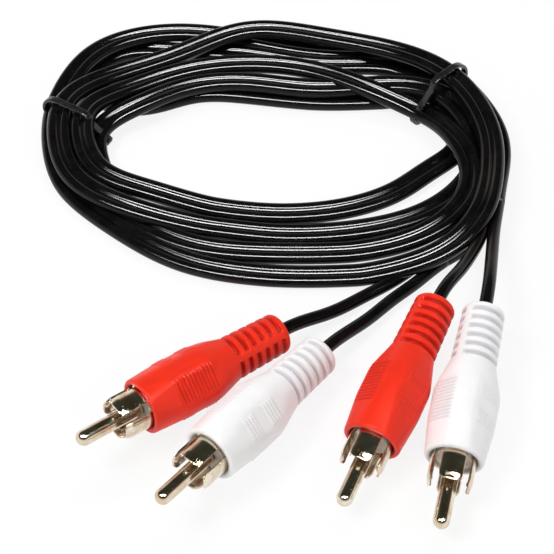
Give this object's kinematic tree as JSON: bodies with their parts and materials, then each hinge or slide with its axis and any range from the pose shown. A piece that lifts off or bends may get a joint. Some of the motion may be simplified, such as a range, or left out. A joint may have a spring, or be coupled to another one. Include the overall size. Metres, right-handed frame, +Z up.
{
  "type": "rca audio cable",
  "caption": "Stereo phono cable: a black twin cord in a tied oval coil, with red and white plugs on leads at its ends.",
  "frame": {"origin": "on the ground, under the middle of the box around the plugs", "axes": "+X to the right along the row of plugs, +Y from the plugs towards the coil, +Z up; the pins point roughly along -Y"},
  "size_m": [0.1089, 0.1447, 0.0138],
  "materials": {
    "red_boot": "semi-matt moulded flexible PVC",
    "white_boot": "semi-matt moulded flexible PVC",
    "plated_metal": "bright nickel plating",
    "white_insulator": "matt moulded",
    "copper": "bare stranded copper",
    "core_insulation": "matt extruded",
    "black_cord": "glossy extruded PVC",
    "black_tie": "glossy"
  },
  "bodies": {
    "root": {"boot_left_red": "red_boot", "shell_left_red": "plated_metal", "pin_left_red": "plated_metal", "insulator_left_red": "white_insulator", "core_wire_left_red": "copper", "core_insulation_left_red": "core_insulation", "shield_wire_left_red": "copper", "lead_left_red": "black_cord", "boot_left_white": "white_boot", "shell_left_white": "plated_metal", "pin_left_white": "plated_metal", "insulator_left_white": "white_insulator", "core_wire_left_white": "copper", "core_insulation_left_white": "core_insulation", "shield_wire_left_white": "copper", "lead_left_white": "black_cord", "boot_right_red": "red_boot", "shell_right_red": "plated_metal", "pin_right_red": "plated_metal", "insulator_right_red": "white_insulator", "core_wire_right_red": "copper", "core_insulation_right_red": "core_insulation", "shield_wire_right_red": "copper", "lead_right_red": "black_cord", "boot_right_white": "white_boot", "shell_right_white": "plated_metal", "pin_right_white": "plated_metal", "insulator_right_white": "white_insulator", "core_wire_right_white": "copper", "core_insulation_right_white": "core_insulation", "shield_wire_right_white": "copper", "lead_right_white": "black_cord", "cord_coil": "black_cord", "tie_left": "black_tie", "tie_right": "black_tie"}
  },
  "joints": []
}
